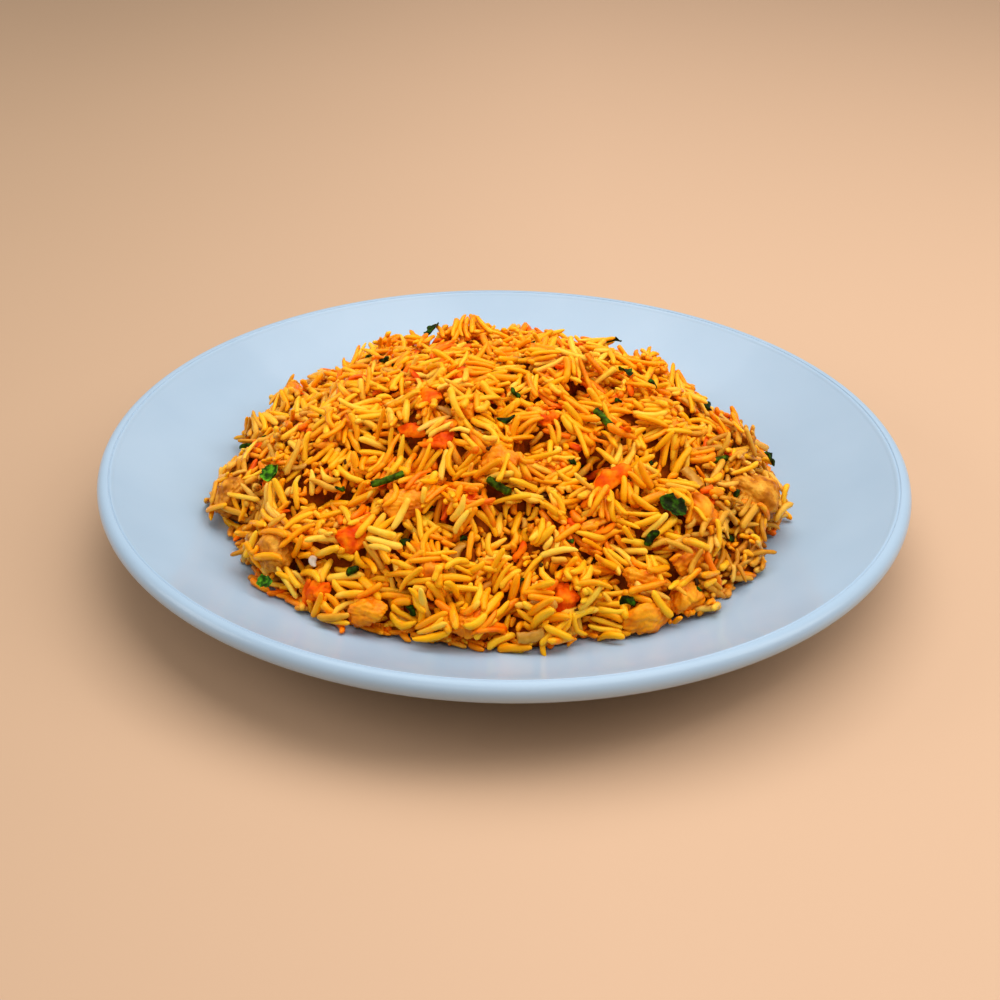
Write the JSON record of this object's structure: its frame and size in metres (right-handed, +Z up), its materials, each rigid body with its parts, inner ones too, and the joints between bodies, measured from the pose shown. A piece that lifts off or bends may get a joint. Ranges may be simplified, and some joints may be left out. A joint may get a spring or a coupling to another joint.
{
  "type": "plate of spiced chicken rice",
  "caption": "Domed heap of spiced long-grain rice with chicken, tomato, onion and herbs on a shallow round ceramic plate with a rolled lip.",
  "frame": {"origin": "on the table, under the middle of the plate, at the level of its foot ring", "axes": "+Z up; -Y towards the side that the picture was taken from; +X to its right"},
  "size_m": [0.2698, 0.2698, 0.0601],
  "materials": {
    "glaze": "glossy pale blue-white glaze",
    "rice": "oiled cooked rice, golden orange to pale beige",
    "chicken": "spiced cooked chicken, golden brown, slightly glossy",
    "tomato": "wet cooked tomato, orange red",
    "herb": "chopped herb leaf and stalk, bright to nearly black green",
    "onion": "translucent fried onion, golden"
  },
  "bodies": {
    "root": {"plate": "glaze", "rice_heap": "rice", "chicken_1": "chicken", "chicken_2": "chicken", "chicken_3": "chicken", "chicken_4": "chicken", "chicken_5": "chicken", "chicken_6": "chicken", "chicken_7": "chicken", "chicken_8": "chicken", "chicken_9": "chicken", "chicken_10": "chicken", "chicken_11": "chicken", "chicken_12": "chicken", "chicken_13": "chicken", "chicken_14": "chicken", "chicken_15": "chicken", "chicken_16": "chicken", "chicken_17": "chicken", "chicken_18": "chicken", "chicken_19": "chicken", "chicken_20": "chicken", "chicken_21": "chicken", "chicken_22": "chicken", "chicken_23": "chicken", "tomato_1": "tomato", "tomato_2": "tomato", "tomato_3": "tomato", "tomato_4": "tomato", "tomato_5": "tomato", "tomato_6": "tomato", "tomato_7": "tomato", "tomato_8": "tomato", "tomato_9": "tomato", "tomato_10": "tomato", "tomato_11": "tomato", "tomato_12": "tomato", "herb_leaf_1": "herb", "herb_leaf_2": "herb", "herb_leaf_3": "herb", "herb_leaf_4": "herb", "herb_leaf_5": "herb", "herb_leaf_6": "herb", "herb_leaf_7": "herb", "herb_leaf_8": "herb", "herb_stalk_1": "herb", "herb_stalk_2": "herb", "herb_stalk_3": "herb", "herb_stalk_4": "herb", "herb_stalk_5": "herb", "onion_1": "onion", "onion_2": "onion", "onion_3": "onion"}
  },
  "joints": []
}
